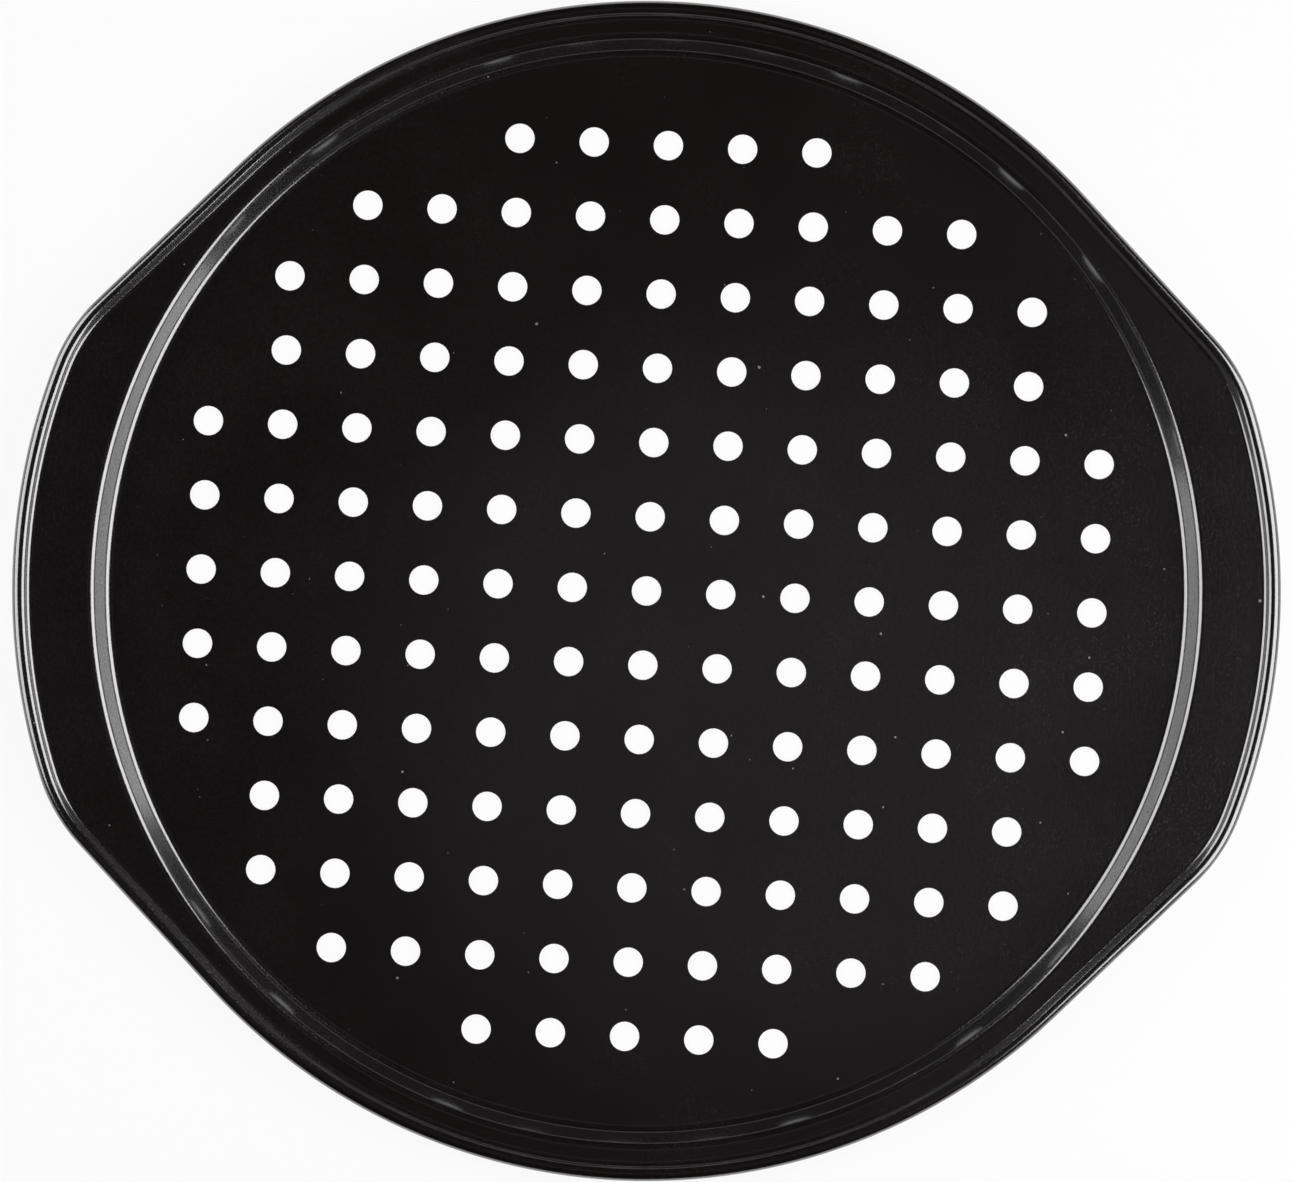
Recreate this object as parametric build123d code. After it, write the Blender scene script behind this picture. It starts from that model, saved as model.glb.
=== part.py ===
from build123d import *
from math import acos, ceil, cos, degrees, hypot, radians, sin
import os

# Round perforated baking pan for pizza: one pressed and punched steel sheet with two wing handles,
# and the steel wire that its rim is rolled over.
# Millimetres and degrees. +X runs through the handles and +Z is up. The origin is the middle of the
# underside of the floor, which is what the pan stands on.

# Sheet
sheet = 0.5
flat_turn = 30.0  # most that a bend turns from one of the even flats that stand for its arc to the next

# Outline seen from above, to the outside of the rolled rim
round_radius = 160.0
handle_reach = 12.0  # how far a handle stands out beyond the round part
flank_angle = 44.4  # from a handle's middle to where its straight flank touches the round part
corner_radius = 48.0  # between a flank and the handle's outer arc

# Dish
dish_depth = 5.3
wall_slope = 55.0
foot_inside = 2.5  # inside radius of the bend between floor and wall
brow_inside = 2.0  # inside radius of the bend between wall and flange
flange_width = 3.2  # flat strip on the round part, between the wall's bend and the rim's step

# Rolled rim
roll_radius = 2.0  # outside of the roll
step_inside = 1.75  # inside radius of the bend where the flange turns up into the rim
step_slope = 55.0
step_straight = 0.3
roll_gap = 60.0  # turn left open between the sheet's edge and the step

# Rim wire
wire_clearance = 0.1  # all round, inside the roll
wire_joint = 0.6  # between the wire's two ends
wire_sides = 8  # flats that stand for its round section, which the roll hides

# Punched holes
hole_diameter = 8.0
hole_sides = 12  # flats of each of the many small round holes
hole_pitch = 20.2
whole_band = 14.5  # from the end of the flat floor in to the circle that no hole centre passes
grid_turn = -0.8  # the rows aren't quite square to the handles

# Worked out: radii of the sheet's mid line, and the rim's section
foot_mid = foot_inside + sheet / 2
brow_mid = brow_inside + sheet / 2
step_mid = step_inside + sheet / 2
roll_mid = roll_radius - sheet / 2
wire_radius = roll_radius - sheet - wire_clearance
step_sin, step_cos = sin(radians(step_slope)), cos(radians(step_slope))
rim_run = (step_mid + roll_mid) * step_sin + step_straight * step_cos
rim_lift = (step_mid + roll_mid) * (1 - step_cos) + step_straight * step_sin

# Worked out: the wall's section
wall_sin, wall_cos = sin(radians(wall_slope)), cos(radians(wall_slope))
wall_straight = (dish_depth - (foot_mid + brow_mid) * (1 - wall_cos)) / wall_sin
wall_run = (foot_mid + brow_mid) * wall_sin + wall_straight * wall_cos

# Worked out: where each section starts and how high it lies, on the mid line
rim_width = rim_run + roll_radius
dish_radius = round_radius - rim_width - flange_width
floor_radius = dish_radius - wall_run
floor_level = sheet / 2
flange_level = floor_level + dish_depth
roll_level = flange_level + rim_lift - roll_mid

# Worked out: the handles' corners, which touch the outer arc and the flank
handle_radius = round_radius + handle_reach
corner_spoke = handle_radius - corner_radius
corner_turn = degrees(acos((round_radius - corner_radius) / corner_spoke))
corner_angle = flank_angle - corner_turn


def spoke(length, angle):
    return Vector(length, 0).rotate(Axis.Z, angle)


def outline(inset):
    # The pan's outline drawn in by inset: twelve arcs and straights that run anticlockwise and all touch
    edges = []
    for side in (0, 180):
        handle = CenterArc((0, 0), handle_radius - inset, side - corner_angle, 2 * corner_angle)
        leaving = CenterArc(
            spoke(corner_spoke, side + corner_angle), corner_radius - inset, side + corner_angle, corner_turn
        )
        round_part = CenterArc((0, 0), round_radius - inset, side + flank_angle, 180 - 2 * flank_angle)
        coming = CenterArc(
            spoke(corner_spoke, side + 180 - corner_angle), corner_radius - inset,
            side + 180 - flank_angle, corner_turn
        )
        edges += [handle, leaving, Line(leaving @ 1, round_part @ 0)]
        edges += [round_part, Line(round_part @ 1, coming @ 0), coming]
    return edges


def bent_strip(start, moves):
    # The section of a sheet that sets off level from a point on its mid line. Each move is a length
    # and no turn, or a mid radius and the turn in degrees, positive to the left.
    point, heading = Vector(*start), 0
    upper, lower = [], []

    def mark():
        left = spoke(sheet / 2, heading + 90)
        upper.append(point + left)
        lower.append(point - left)

    mark()
    for size, turn in moves:
        if turn == 0:
            point += spoke(size, heading)
            mark()
            continue
        hand = 1 if turn > 0 else -1
        centre = point + spoke(hand * size, heading + 90)
        flats = ceil(abs(turn) / flat_turn)
        for _ in range(flats):
            heading += turn / flats
            point = centre - spoke(hand * size, heading + 90)
            mark()
    return make_face(Polyline(*upper, *reversed(lower), close=True))


def follow(section, path):
    # The solids that a section makes as it runs along each edge of a path, upright and facing outwards
    pieces = []
    for edge in path:
        forward = edge % 0
        placed = Plane(edge @ 0, x_dir=forward.rotate(Axis.Z, -90), z_dir=-forward) * section
        if edge.geom_type == GeomType.CIRCLE:
            turn = degrees(edge.length / edge.radius)
            pieces.append(revolve(placed, Axis(edge.arc_center, (0, 0, 1)), turn))
        else:
            pieces.append(extrude(placed, edge.length, dir=forward))
    return pieces


def hole_centres():
    # A square grid, kept where it stays inside the circle that the holes fill
    reach = floor_radius - whole_band
    rows = range(-int(reach / hole_pitch), int(reach / hole_pitch) + 1)
    grid = [(column * hole_pitch, row * hole_pitch) for row in rows for column in rows]
    return [Vector(x, y).rotate(Axis.Z, grid_turn) for x, y in grid if hypot(x, y) <= reach]


def make_floor():
    punched = [Pos(centre) * RegularPolygon(hole_diameter / 2, hole_sides) for centre in hole_centres()]
    return extrude(Circle(floor_radius) - punched, sheet)


def make_wall():
    moves = [(foot_mid, wall_slope), (wall_straight, 0), (brow_mid, -wall_slope)]
    return revolve(Plane.XZ * bent_strip((floor_radius, floor_level), moves), Axis.Z)


def make_flange():
    flat = make_face(outline(rim_width)) - Circle(dish_radius)
    return Pos(0, 0, flange_level - sheet / 2) * extrude(flat, sheet)


def make_rim():
    moves = [(step_mid, step_slope), (step_straight, 0), (roll_mid, roll_gap - 360)]
    return follow(bent_strip((-rim_run, flange_level), moves), outline(roll_radius))


def make_pan_sheet():
    return make_flange() + [make_floor(), make_wall(), *make_rim()]


def make_rim_wire():
    # Bent to the outline inside the roll, with its ends facing each other on the round part
    pieces = follow(Pos(0, roll_level) * RegularPolygon(wire_radius, wire_sides), outline(roll_radius))
    joint = Pos(0, round_radius - roll_radius, roll_level) * Box(wire_joint, 2 * roll_radius, 2 * roll_radius)
    return pieces[0] + pieces[1:] - joint


os.makedirs("parts", exist_ok=True)
nodes = {"pan_sheet": make_pan_sheet(), "rim_wire": make_rim_wire()}
for name, shape in nodes.items():
    shape.label = name
    export_step(shape, f"parts/{name}.step")
print(f"floor radius {floor_radius:.2f}, dish radius {dish_radius:.2f}, rim width {rim_width:.2f}")
print(f"height {roll_level + roll_radius:.2f}, holes {len(hole_centres())}, wire {2 * wire_radius:.2f} thick")
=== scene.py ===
import bpy
import bmesh
from math import acos, cos, degrees, pi, radians, sin, tan
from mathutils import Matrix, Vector


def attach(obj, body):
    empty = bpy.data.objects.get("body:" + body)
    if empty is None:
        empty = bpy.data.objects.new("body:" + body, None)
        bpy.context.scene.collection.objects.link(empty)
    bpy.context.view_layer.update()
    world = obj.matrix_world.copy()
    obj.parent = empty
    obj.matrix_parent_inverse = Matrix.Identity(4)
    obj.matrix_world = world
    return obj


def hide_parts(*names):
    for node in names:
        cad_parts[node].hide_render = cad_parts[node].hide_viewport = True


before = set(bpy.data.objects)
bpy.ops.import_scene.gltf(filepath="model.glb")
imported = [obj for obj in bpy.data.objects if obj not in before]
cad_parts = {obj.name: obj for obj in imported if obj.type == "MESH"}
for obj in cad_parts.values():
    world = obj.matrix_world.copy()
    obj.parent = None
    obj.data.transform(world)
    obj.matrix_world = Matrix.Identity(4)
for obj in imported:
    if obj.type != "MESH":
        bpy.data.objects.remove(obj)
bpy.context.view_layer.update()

# A round perforated pan for pizza, seen from straight above. The pan's sizes are in millimetres and
# degrees, and mm turns them into the frame's metres. +X runs through the two handles.
mm = 0.001


# Camera, first because it sets the picture

photo = {
    "widthPixels": 1293,
    "pixelsPerMm": 3.686,  # the round part is 320 mm and 1180 pixels high
    "turn": 2.02,  # the right handle lies a little lower in the photograph
    "level": 4.0,  # height at which the scale holds
    "lens": 200.0,
    "sensor": 36.0,
}


def makeCamera():
    seenWidth = photo["widthPixels"] / photo["pixelsPerMm"] * mm
    distance = seenWidth * photo["lens"] / photo["sensor"] + photo["level"] * mm
    bpy.ops.object.camera_add(location=(0, 0, distance), rotation=(0, 0, radians(photo["turn"])))
    camera = bpy.context.object
    camera.name = "overheadCamera"
    camera.data.lens = photo["lens"]
    camera.data.sensor_width = photo["sensor"]
    bpy.context.scene.camera = camera


# Shader maths as plain expressions, and every other node from one method

class Signal:
    def __init__(self, shader, socket):
        self.shader, self.socket = shader, socket

    def maths(self, operation, first, second):
        made = self.shader.node("ShaderNodeMath", {"operation": operation}, {0: first, 1: second})
        return Signal(self.shader, made.outputs[0])

    def __add__(self, other):
        return self.maths("ADD", self, other)

    def __sub__(self, other):
        return self.maths("SUBTRACT", self, other)

    def __rsub__(self, other):
        return self.maths("SUBTRACT", other, self)

    def __mul__(self, other):
        return self.maths("MULTIPLY", self, other)

    def __pow__(self, other):
        return self.maths("POWER", self, other)

    def __rpow__(self, other):
        return self.maths("POWER", other, self)

    def __lt__(self, other):
        return self.maths("LESS_THAN", self, other)

    def __gt__(self, other):
        return self.maths("GREATER_THAN", self, other)

    def atLeast(self, other):
        return self.maths("MAXIMUM", self, other)

    __radd__, __rmul__ = __add__, __mul__


class Shader:
    def __init__(self, owner, output="ShaderNodeOutputMaterial"):
        self.owner = owner
        owner.use_nodes = True
        self.tree = owner.node_tree
        self.tree.nodes.clear()
        self.output = self.node(output)

    def node(self, kind, settings=None, inputs=None):
        made = self.tree.nodes.new(kind)
        for key, value in (settings or {}).items():
            setattr(made, key, value)
        for key, value in (inputs or {}).items():
            if isinstance(value, Signal):
                self.tree.links.new(value.socket, made.inputs[key])
            else:
                made.inputs[key].default_value = value
        return made

    def signal(self, kind, output, settings=None, inputs=None):
        return Signal(self, self.node(kind, settings, inputs).outputs[output])

    def place(self):
        return self.signal("ShaderNodeTexCoord", "Object")

    def noise(self, featureMm, detail, stretch=(1.0, 1.0, 1.0)):
        # Its values lie round 0.5
        pattern = {"Vector": self.place(), "Scale": stretch}
        moved = self.signal("ShaderNodeMapping", "Vector", {}, pattern)
        inputs = {"Vector": moved, "Scale": 1.0 / (featureMm * mm), "Detail": detail}
        return self.signal("ShaderNodeTexNoise", "Fac", {}, inputs)

    def blend(self, share, first, second):
        # The Mix node's colour sockets are 6 and 7 in, and 2 out
        inputs = {0: share, 6: first, 7: second}
        return self.signal("ShaderNodeMix", 2, {"data_type": "RGBA"}, inputs)

    def finish(self, surface):
        self.tree.links.new(surface.socket, self.output.inputs["Surface"])
        return self.owner


def grey(level):
    return (level, level, level, 1.0)


# Non-stick coating: near-black and satin, with a fine grain and a few specks of dust

coating = {
    "black": (0.0031, 0.0017, 0.0018, 1.0),
    "faded": (0.0063, 0.0043, 0.0042, 1.0),
    "dust": (0.20, 0.195, 0.19, 1.0),
    "roughness": 0.24,
    "index": 1.56,
    "topcoatRoughness": 0.12,
    "topcoatIndex": 2.15,
    "grainMm": 0.75,
    "grainHeightMm": 0.095,
    "grainRoughness": 0.20,
    "cloudMm": 38.0,
    "cloudRoughness": 0.10,
    "dustPitchMm": 20.0,
    "dustMm": 1.6,
    "dustBare": 0.45,  # level of the noise below which a place has no speck
    "dustRoughness": 0.40,
}


def makeCoating():
    shader = Shader(bpy.data.materials.new("nonstickCoating"))
    grain = shader.noise(coating["grainMm"], detail=3.0)
    cloud = shader.noise(coating["cloudMm"], detail=4.0)
    unevenness = (
        (grain - 0.5) * coating["grainRoughness"] + (cloud - 0.5) * coating["cloudRoughness"]
    )
    cells = {"Vector": shader.place(), "Scale": 1.0 / (coating["dustPitchMm"] * mm)}
    toSpeck = shader.signal("ShaderNodeTexVoronoi", "Distance", {"voronoi_dimensions": "2D"}, cells)
    speckSize = shader.noise(coating["dustPitchMm"], detail=1.0) - coating["dustBare"]
    dust = toSpeck < speckSize * (coating["dustMm"] / coating["dustPitchMm"])
    shade = shader.blend(cloud, coating["black"], coating["faded"])
    bump = shader.signal("ShaderNodeBump", "Normal", {}, {
        "Strength": 1.0, "Distance": coating["grainHeightMm"] * mm, "Height": grain,
    })
    surface = shader.signal("ShaderNodeBsdfPrincipled", "BSDF", {}, {
        "Base Color": shader.blend(dust, shade, coating["dust"]),
        "Roughness": coating["roughness"] + unevenness + dust * coating["dustRoughness"],
        "IOR": coating["index"],
        "Coat Weight": 1.0,
        "Coat Roughness": coating["topcoatRoughness"],
        "Coat IOR": coating["topcoatIndex"],
        "Normal": bump,
    })
    return shader.finish(surface)


# Rim wire: plain drawn steel

steel = {
    "bright": (0.46, 0.45, 0.43, 1.0),
    "dull": (0.30, 0.29, 0.28, 1.0),
    "roughness": 0.30,
    "scaleMm": 1.6,
    "scaleRoughness": 0.25,
    "scratchMm": 0.25,
    "scratchStretch": (0.15, 0.15, 1.0),
    "scratchHeightMm": 0.012,
    "scratchRoughness": 0.15,
}


def makeSteel():
    shader = Shader(bpy.data.materials.new("wireSteel"))
    scale = shader.noise(steel["scaleMm"], detail=4.0)
    scratch = shader.noise(steel["scratchMm"], detail=2.0, stretch=steel["scratchStretch"])
    unevenness = (
        (scale - 0.5) * steel["scaleRoughness"] + (scratch - 0.5) * steel["scratchRoughness"]
    )
    bump = shader.signal("ShaderNodeBump", "Normal", {}, {
        "Strength": 1.0, "Distance": steel["scratchHeightMm"] * mm, "Height": scratch,
    })
    surface = shader.signal("ShaderNodeBsdfPrincipled", "BSDF", {}, {
        "Base Color": shader.blend(scale, steel["bright"], steel["dull"]),
        "Metallic": 1.0,
        "Roughness": steel["roughness"] + unevenness,
        "Normal": bump,
    })
    return shader.finish(surface)


# Sections are drawn from one point and then carried round

def startPoint(name, place):
    bpy.ops.object.select_all(action="DESELECT")
    bpy.ops.mesh.primitive_plane_add(size=mm, location=place * mm)
    piece = bpy.context.object
    piece.name = name
    bpy.ops.object.transform_apply(location=True, rotation=True, scale=True)
    bpy.ops.object.mode_set(mode="EDIT")
    bpy.ops.mesh.select_all(action="SELECT")
    bpy.ops.mesh.merge(type="CENTER")
    return piece


def slide(direction, length, steps):
    move = {"value": direction * (length * mm / steps)}
    for step in range(steps):
        bpy.ops.mesh.extrude_region_move(TRANSFORM_OT_translate=move)


def turnAbout(centre, axis, turn, steps):
    # A positive turn is by the right-hand rule. Spin itself turns clockwise about its axis.
    bpy.ops.mesh.spin(steps=steps, angle=-radians(turn), center=centre * mm, axis=axis)


def drawSection(place, moves):
    # Runs outwards, which is -Y here. A move is a length and no turn, or a radius and its turn
    # upwards, with its steps.
    def ahead(heading):
        return Vector((0, -cos(radians(heading)), sin(radians(heading))))

    heading = 0.0
    for size, turn, steps in moves:
        if turn == 0:
            slide(ahead(heading), size, steps)
            place = place + ahead(heading) * size
            continue
        reach = size if turn > 0 else -size
        centre = place + ahead(heading + 90) * reach
        turnAbout(centre, Vector((-1, 0, 0)), turn, steps)
        heading += turn
        place = centre - ahead(heading + 90) * reach
    bpy.ops.mesh.select_all(action="SELECT")


pan = {
    "sheet": 0.5,
    "roundRadius": 160.0,
    "handleReach": 12.0,
    "flankAngle": 44.4,
    "cornerRadius": 48.0,
    "dishDepth": 5.3,
    "wallSlope": 55.0,
    "footInside": 2.5,
    "browInside": 2.0,
    "flangeWidth": 3.2,
    "rollRadius": 2.0,
    "stepInside": 1.75,
    "stepSlope": 55.0,
    "stepStraight": 0.3,
    "rollGap": 60.0,
    "flatBeside": 0.3,  # narrow flat rows beside a bend keep the shading of the flat sheet even
    "cutEdge": 0.08,  # rounding of punched and sheared edges
    "holeDiameter": 8.0,
    "holePitch": 20.2,
    "holeReach": 6.5,  # pitches from the middle out to the last holes
    "gridTurn": -0.8,
    "holeSides": 24,
    "bendSteps": 8,
    "rollSteps": 30,
    "bevelAngle": 60.0,  # edges sharper than this are rounded
    "smoothAngle": 35.0,
    "closeMm": 0.01,  # points this close are one
}
# Steps along each stretch of the outline. The wall gets as many in all, so that the flange between
# the two can be bridged.
outline = {
    "round": 46,
    "flank": 12,
    "corner": 12,
    "handle": 38,
}
halfSteps = 2 * (outline["round"] + outline["flank"] + outline["corner"]) + outline["handle"]

handleRadius = pan["roundRadius"] + pan["handleReach"]
cornerSpoke = handleRadius - pan["cornerRadius"]
cornerTurn = degrees(acos((pan["roundRadius"] - pan["cornerRadius"]) / cornerSpoke))
cornerAngle = pan["flankAngle"] - cornerTurn
flankLength = cornerSpoke * sin(radians(cornerTurn))

# The upper side of the sheet, whose radii are the inside ones where it bends up
browRadius = pan["browInside"] + pan["sheet"]
wallSin, wallCos = sin(radians(pan["wallSlope"])), cos(radians(pan["wallSlope"]))
wallStraight = (pan["dishDepth"] - (pan["footInside"] + browRadius) * (1 - wallCos)) / wallSin
wallRun = (pan["footInside"] + browRadius) * wallSin + wallStraight * wallCos
stepSin, stepCos = sin(radians(pan["stepSlope"])), cos(radians(pan["stepSlope"]))
rimRun = (pan["stepInside"] + pan["rollRadius"]) * stepSin + pan["stepStraight"] * stepCos
rimLift = (pan["stepInside"] + pan["rollRadius"]) * (1 - stepCos) + pan["stepStraight"] * stepSin
flangeTop = pan["sheet"] + pan["dishDepth"]
rimStart = pan["roundRadius"] - pan["rollRadius"] - rimRun
rollLevel = flangeTop + rimLift - pan["rollRadius"]
dishRadius = rimStart - pan["flangeWidth"]
floorRadius = dishRadius - wallRun

middle = Vector((0, 0, 0))
upwards = Vector((0, 0, 1))


def followOutline(endGap=0.0):
    # Carries what is selected round the right half of the outline, from -Y by way of the handle to +Y,
    # and stops an angle short of it if asked
    def corner(side):
        angle = radians(side * cornerAngle)
        return Vector((cornerSpoke * cos(angle), cornerSpoke * sin(angle), 0))

    def along(angle):
        return Vector((-sin(radians(angle)), cos(radians(angle)), 0))

    turnAbout(middle, upwards, 90 - pan["flankAngle"], outline["round"])
    slide(along(-pan["flankAngle"]), flankLength, outline["flank"])
    turnAbout(corner(-1), upwards, cornerTurn, outline["corner"])
    turnAbout(middle, upwards, 2 * cornerAngle, outline["handle"])
    turnAbout(corner(1), upwards, cornerTurn, outline["corner"])
    slide(along(pan["flankAngle"]), flankLength, outline["flank"])
    turnAbout(middle, upwards, 90 - pan["flankAngle"] - endGap, outline["round"])


def mirrorHalf(piece):
    bpy.ops.object.mode_set(mode="OBJECT")
    mirror = piece.modifiers.new("otherHalf", "MIRROR")
    mirror.merge_threshold = pan["closeMm"] * mm
    bpy.ops.object.modifier_apply(modifier=mirror.name)


def joinPieces(*pieces):
    bpy.ops.object.select_all(action="DESELECT")
    for piece in pieces:
        piece.select_set(True)
    bpy.context.view_layer.objects.active = pieces[0]
    bpy.ops.object.join()
    return pieces[0]


def pickOpenEdges(piece, level, wanted):
    # In edit mode: selects the open edges at a level that wanted, given their two ends, says yes to
    bpy.ops.mesh.select_mode(type="EDGE")
    bpy.ops.mesh.select_all(action="DESELECT")
    shape = bmesh.from_edit_mesh(piece.data)
    for edge in shape.edges:
        start, end = [vert.co / mm for vert in edge.verts]
        atLevel = abs((start.z + end.z) / 2 - level) < pan["closeMm"]
        edge.select_set(edge.is_boundary and atLevel and wanted(start, end))
    bmesh.update_edit_mesh(piece.data)


def makeWallHalf():
    start = Vector((0, pan["flatBeside"] - floorRadius, pan["sheet"]))
    piece = startPoint("wallHalf", start)
    drawSection(start, [
        (pan["flatBeside"], 0, 1),
        (pan["footInside"], pan["wallSlope"], pan["bendSteps"]),
        (wallStraight, 0, 1),
        (browRadius, -pan["wallSlope"], pan["bendSteps"]),
        (pan["flatBeside"], 0, 1),
    ])
    turnAbout(middle, upwards, 180, halfSteps)
    bpy.ops.object.mode_set(mode="OBJECT")
    return piece


def makeRimHalf():
    start = Vector((0, pan["flatBeside"] - rimStart, flangeTop))
    piece = startPoint("rimHalf", start)
    drawSection(start, [
        (pan["flatBeside"], 0, 1),
        (pan["stepInside"], pan["stepSlope"], pan["bendSteps"]),
        (pan["stepStraight"], 0, 1),
        (pan["rollRadius"], pan["rollGap"] - 360, pan["rollSteps"]),
    ])
    followOutline()
    bpy.ops.object.mode_set(mode="OBJECT")
    return piece


def bridgeFlange(piece):
    # The flat flange, between the end of the wall's bend and the start of the rim's step. Edges on the
    # seam between the two halves stay open.
    bpy.ops.object.mode_set(mode="EDIT")
    pickOpenEdges(piece, flangeTop, lambda start, end: max(start.x, end.x) > pan["closeMm"])
    bpy.ops.mesh.bridge_edge_loops()


def makeHoleCell():
    # One pitch of the floor with a hole in it
    sides = pan["holeSides"]
    bpy.ops.object.select_all(action="DESELECT")
    bpy.ops.mesh.primitive_grid_add(
        x_subdivisions=sides // 4, y_subdivisions=sides // 4, size=pan["holePitch"] * mm,
        location=(0, 0, pan["sheet"] * mm),
    )
    cell = bpy.context.object
    cell.name = "holeCell"
    bpy.ops.object.transform_apply(location=True, rotation=True, scale=True)
    bpy.ops.object.mode_set(mode="EDIT")
    bpy.ops.mesh.select_all(action="SELECT")
    bpy.ops.mesh.region_to_loop()
    bpy.ops.mesh.select_mode(type="VERT")
    bpy.ops.mesh.select_all(action="INVERT")
    bpy.ops.mesh.delete(type="VERT")
    bpy.ops.mesh.select_all(action="SELECT")
    bpy.ops.mesh.delete(type="ONLY_FACE")
    bpy.ops.mesh.primitive_circle_add(
        vertices=sides, radius=pan["holeDiameter"] / 2 * mm, location=(0, 0, pan["sheet"] * mm),
        rotation=(0, 0, pi / 4),
    )
    bpy.ops.mesh.select_all(action="SELECT")
    bpy.ops.mesh.bridge_edge_loops()
    bpy.ops.object.mode_set(mode="OBJECT")
    return cell


def makePerforatedFloor():
    cell = makeHoleCell()
    count = 2 * int(pan["holeReach"]) + 1
    for axis in ((1.0, 0.0, 0.0), (0.0, 1.0, 0.0)):
        row = cell.modifiers.new("row", "ARRAY")
        row.count = count
        row.relative_offset_displace = axis
        row.use_merge_vertices = True
        row.merge_threshold = pan["closeMm"] * mm
        bpy.ops.object.modifier_apply(modifier=row.name)
    shift = -(count - 1) / 2 * pan["holePitch"] * mm
    cell.location = (shift, shift, 0)
    bpy.ops.object.transform_apply(location=True, rotation=True, scale=True)
    bpy.ops.object.mode_set(mode="EDIT")
    bpy.ops.mesh.select_mode(type="FACE")
    bpy.ops.mesh.select_all(action="DESELECT")
    shape = bmesh.from_edit_mesh(cell.data)
    for face in shape.faces:
        spot = face.calc_center_median() / mm / pan["holePitch"]
        face.select_set(Vector((round(spot.x), round(spot.y))).length > pan["holeReach"])
    bmesh.update_edit_mesh(cell.data)
    bpy.ops.mesh.delete(type="FACE")
    bpy.ops.object.mode_set(mode="OBJECT")
    cell.rotation_euler = (0, 0, radians(pan["gridTurn"]))
    bpy.ops.object.transform_apply(location=True, rotation=True, scale=True)
    return cell


def fillFloor(piece):
    # Plain sheet between the perforated field and the foot of the wall. The holes' own edges are shorter
    # than any of these.
    holeEdge = pi * pan["holeDiameter"] / pan["holeSides"]
    bpy.ops.object.mode_set(mode="EDIT")
    pickOpenEdges(piece, pan["sheet"], lambda start, end: (end - start).length > holeEdge)
    bpy.ops.mesh.fill()


def roundEdges(piece, width, segments):
    edge = piece.modifiers.new("cutEdges", "BEVEL")
    edge.width = width * mm
    edge.segments = segments
    edge.limit_method = "ANGLE"
    edge.angle_limit = radians(pan["bevelAngle"])
    bpy.ops.object.modifier_apply(modifier=edge.name)
    bpy.ops.object.shade_smooth_by_angle(angle=radians(pan["smoothAngle"]))


def makePanSheet(material):
    piece = joinPieces(makeWallHalf(), makeRimHalf())
    bridgeFlange(piece)
    mirrorHalf(piece)
    piece = joinPieces(piece, makePerforatedFloor())
    fillFloor(piece)
    bpy.ops.mesh.select_all(action="SELECT")
    bpy.ops.mesh.remove_doubles(threshold=pan["closeMm"] * mm / 2)
    bpy.ops.mesh.normals_make_consistent(inside=False)
    bpy.ops.object.mode_set(mode="OBJECT")
    # An open sheet can come out facing down
    widest = max(piece.data.polygons, key=lambda face: face.area)
    if widest.normal.z < 0:
        bpy.ops.object.mode_set(mode="EDIT")
        bpy.ops.mesh.flip_normals()
        bpy.ops.object.mode_set(mode="OBJECT")
    metal = piece.modifiers.new("sheet", "SOLIDIFY")
    metal.thickness = pan["sheet"] * mm
    metal.offset = -1.0
    metal.use_even_offset = True
    bpy.ops.object.modifier_apply(modifier=metal.name)
    roundEdges(piece, pan["cutEdge"], 1)
    piece.name = "panSheet"
    piece.data.materials.clear()
    piece.data.materials.append(material)
    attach(piece, "root")
    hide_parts("pan_sheet")
    print("pan sheet:", len(piece.data.polygons), "faces")


wire = {
    "clearance": 0.1,  # all round, inside the roll
    "joint": 0.6,  # between its two ends
    "sides": 16,
    "endRounding": 0.15,
}


def makeRimWire(material):
    radius = pan["rollRadius"] - pan["sheet"] - wire["clearance"]
    centreOut = pan["roundRadius"] - pan["rollRadius"]
    bpy.ops.object.select_all(action="DESELECT")
    bpy.ops.mesh.primitive_circle_add(
        vertices=wire["sides"], radius=radius * mm, location=(0, -centreOut * mm, rollLevel * mm),
        rotation=(0, pi / 2, 0),
    )
    piece = bpy.context.object
    piece.name = "rimWire"
    bpy.ops.object.transform_apply(location=True, rotation=True, scale=True)
    bpy.ops.object.mode_set(mode="EDIT")
    bpy.ops.mesh.select_all(action="SELECT")
    followOutline(degrees(wire["joint"] / 2 / centreOut))
    bpy.ops.mesh.edge_face_add()
    mirrorHalf(piece)
    bpy.ops.object.mode_set(mode="EDIT")
    bpy.ops.mesh.select_all(action="SELECT")
    bpy.ops.mesh.normals_make_consistent(inside=False)
    bpy.ops.object.mode_set(mode="OBJECT")
    roundEdges(piece, wire["endRounding"], 2)
    piece.data.materials.clear()
    piece.data.materials.append(material)
    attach(piece, "root")
    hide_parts("rim_wire")
    print("rim wire:", len(piece.data.polygons), "faces")


# Studio: a white table, a soft light at each side, a faint one overhead and a pale band along the
# horizon. Its sizes are in metres, and bearings are anticlockwise from +X.

studio = {
    "tableWidth": 12.0,
    "tableGap": 0.0002,  # under the pan
    "tableShade": 0.80,
    "shownWhite": 0.90,  # share of plain white that the camera and reflections see on the table
    "skyTop": 0.006,
    "skyHorizon": 1.15,
    "skyFall": 22.0,
}
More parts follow.
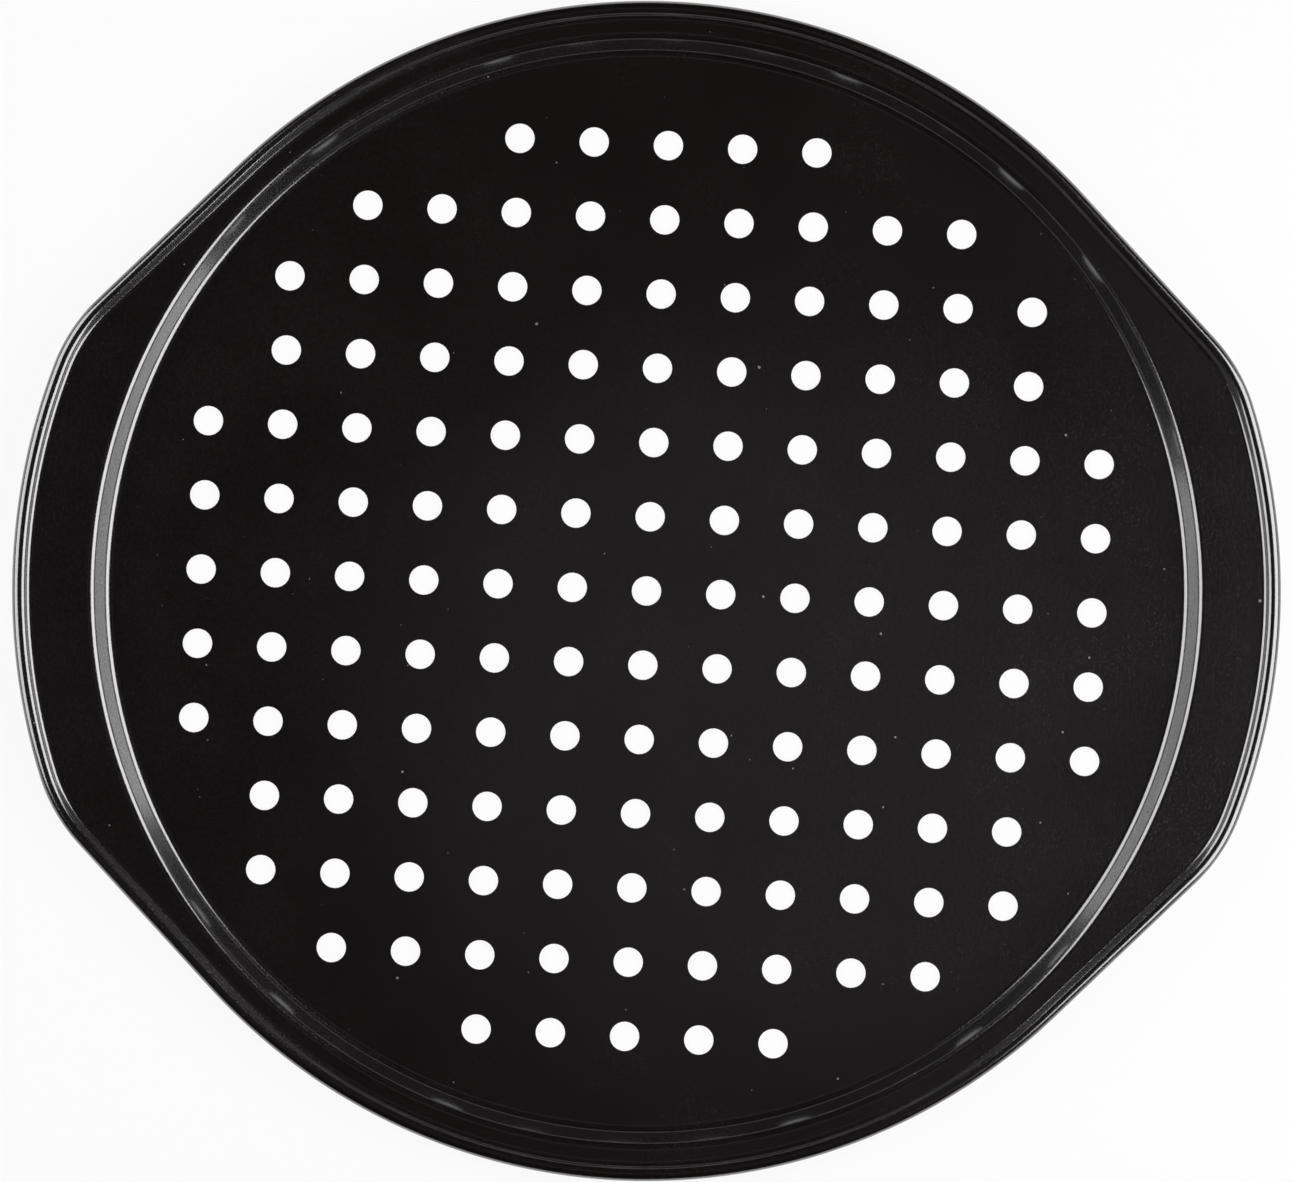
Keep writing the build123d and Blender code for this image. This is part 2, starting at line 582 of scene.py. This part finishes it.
# The low and high edges and the distance are as the dish's far wall sees a softbox, because that is
# where it shows
lamps = {
    "leftSoftbox": {
        "bearing": 170.0, "halfWidth": 29.0, "low": 12.5, "high": 50.0,
        "distance": 1.25, "radiance": 3.54,
    },
    "rightSoftbox": {
        "bearing": -4.0, "halfWidth": 36.0, "low": 12.5, "high": 51.0,
        "distance": 0.86, "radiance": 4.34,
    },
}
ceiling = {"place": (0.07, -0.07, 2.6), "width": 0.46, "radiance": 0.063}


def makeTable():
    bpy.ops.object.select_all(action="DESELECT")
    below = (0, 0, -studio["tableGap"])
    bpy.ops.mesh.primitive_plane_add(size=studio["tableWidth"], location=below)
    table = bpy.context.object
    table.name = "whiteTable"
    shader = Shader(bpy.data.materials.new("tableWhite"))
    path = shader.node("ShaderNodeLightPath")
    rays = ("Is Camera Ray", "Is Glossy Ray", "Is Transmission Ray")
    seen = [Signal(shader, path.outputs[ray]) for ray in rays]
    lit = shader.signal("ShaderNodeBsdfDiffuse", "BSDF", {}, {"Color": grey(studio["tableShade"])})
    white = {"Color": grey(1.0), "Strength": 1.0}
    glow = shader.signal("ShaderNodeEmission", "Emission", {}, white)
    share = (seen[0] + seen[1] + seen[2]) * studio["shownWhite"]
    mixed = shader.signal("ShaderNodeMixShader", "Shader", {}, {0: share, 1: lit, 2: glow})
    table.data.materials.append(shader.finish(mixed))


def makeLight(name, shape, place, towards, size, radiance):
    bpy.ops.object.light_add(type="AREA", location=place)
    light = bpy.context.object
    light.name = name
    light.rotation_euler = towards.to_track_quat("Z", "Y").to_euler()
    light.data.shape = shape
    light.data.size, light.data.size_y = size
    share = pi / 4 if shape == "ELLIPSE" else 1.0
    light.data.energy = radiance * pi * share * size[0] * size[1]


def makeLamps():
    for name, lamp in lamps.items():
        bearing, lift = radians(lamp["bearing"]), radians((lamp["low"] + lamp["high"]) / 2)
        level = Vector((cos(bearing), sin(bearing), 0))
        towards = level * cos(lift) + upwards * sin(lift)
        place = towards * lamp["distance"] - level * dishRadius * mm
        width = 2 * (place.x ** 2 + place.y ** 2) ** 0.5 * tan(radians(lamp["halfWidth"]))
        height = 2 * lamp["distance"] * tan(radians((lamp["high"] - lamp["low"]) / 2))
        makeLight(name, "RECTANGLE", place, towards, (width, height), lamp["radiance"])
    size = ceiling["width"], ceiling["width"]
    makeLight("paleCeiling", "ELLIPSE", ceiling["place"], upwards, size, ceiling["radiance"])


def makeWorld():
    bpy.context.scene.world = bpy.data.worlds.new("studioWorld")
    shader = Shader(bpy.context.scene.world, "ShaderNodeOutputWorld")
    direction = shader.signal("ShaderNodeTexCoord", "Generated")
    height = shader.signal("ShaderNodeSeparateXYZ", "Z", {}, {"Vector": direction})
    lowness = (1.0 - height.atLeast(0.0)) ** studio["skyFall"]
    level = studio["skyTop"] + lowness * (studio["skyHorizon"] - studio["skyTop"])
    sky = {"Color": grey(1.0), "Strength": level}
    shader.finish(shader.signal("ShaderNodeBackground", "Background", {}, sky))
    bpy.context.scene.view_settings.view_transform = "Standard"


print("camera")
makeCamera()
print("studio")
makeTable()
makeLamps()
makeWorld()
print("pan")
makePanSheet(makeCoating())
makeRimWire(makeSteel())
